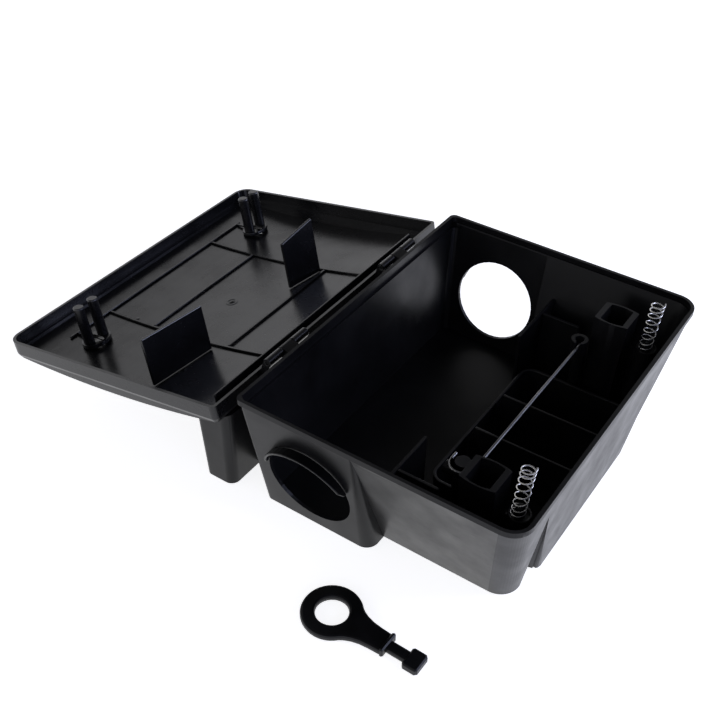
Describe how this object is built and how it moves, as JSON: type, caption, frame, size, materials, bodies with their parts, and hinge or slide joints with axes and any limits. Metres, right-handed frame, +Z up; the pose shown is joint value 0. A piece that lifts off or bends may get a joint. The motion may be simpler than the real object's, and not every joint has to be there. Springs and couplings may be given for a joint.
{
  "type": "rodent bait station",
  "caption": "Lockable black plastic rodent bait station, lid laid open on its hinges, with end entrances, bait tray, bait rod and loose key.",
  "frame": {"origin": "middle of the underside of the base box, which lies on the floor", "axes": "+Z up; +Y along the base's length from the near to the far entrance; +X from the hinge side to the locking side"},
  "size_m": [0.3775, 0.2955, 0.1002],
  "materials": {
    "base_plastic": "black moulded plastic, satin",
    "lid_plastic": "black moulded plastic, satin",
    "tray_plastic": "black moulded plastic, satin",
    "key_plastic": "black moulded plastic, satin",
    "spring_steel": "bright spring wire",
    "rod_steel": "drawn zinc-plated wire"
  },
  "bodies": {
    "base": {"base_shell": "base_plastic", "near_entrance_hood": "base_plastic", "near_fin_wall": "base_plastic", "near_cross_wall": "base_plastic", "near_lock_socket": "base_plastic", "near_rod_support": "base_plastic", "near_spring_seat": "base_plastic", "near_spring": "spring_steel", "near_hinge_knuckle": "base_plastic", "near_hinge_pin": "base_plastic", "near_rear_foot": "base_plastic", "far_entrance_hood": "base_plastic", "far_fin_wall": "base_plastic", "far_cross_wall": "base_plastic", "far_lock_socket": "base_plastic", "far_rod_support": "base_plastic", "far_spring_seat": "base_plastic", "far_spring": "spring_steel", "far_hinge_knuckle": "base_plastic", "far_hinge_pin": "base_plastic", "far_rear_foot": "base_plastic"},
    "lid": {"lid_shell": "lid_plastic", "hinge_side_lip": "lid_plastic", "hinge_side_rib": "lid_plastic", "middle_rib": "lid_plastic", "free_side_rib": "lid_plastic", "near_cross_rib": "lid_plastic", "near_baffle": "lid_plastic", "near_lock_pad": "lid_plastic", "near_lock_prong_outer": "lid_plastic", "near_lock_prong_inner": "lid_plastic", "near_lid_lug_outer": "lid_plastic", "near_lid_lug_inner": "lid_plastic", "far_cross_rib": "lid_plastic", "far_baffle": "lid_plastic", "far_lock_pad": "lid_plastic", "far_lock_prong_outer": "lid_plastic", "far_lock_prong_inner": "lid_plastic", "far_lid_lug_outer": "lid_plastic", "far_lid_lug_inner": "lid_plastic"},
    "tray": {"bait_tray": "tray_plastic", "near_bait_divider": "tray_plastic", "far_bait_divider": "tray_plastic"},
    "rod": {"bait_rod": "rod_steel"},
    "key": {"key": "key_plastic"}
  },
  "joints": [
    {"name": "lid_hinge", "type": "hinge", "parent": "base", "child": "lid", "pos_m": [-0.099, 0, 0.0822], "axis": [0, 1, 0], "range_deg": [0, 190.5], "deforming": ["near_spring", "far_spring"]},
    {"name": "tray_lift", "type": "slide", "parent": "base", "child": "tray", "axis": [0, 0, 1], "range_m": [0, 0.018]},
    {"name": "rod_lift", "type": "slide", "parent": "base", "child": "rod", "axis": [0, 0, 1], "range_m": [0, 0.018]},
    {"name": "key_lift", "type": "slide", "parent": "base", "child": "key", "axis": [0, 0, 1], "range_m": [0, 0.06]}
  ]
}
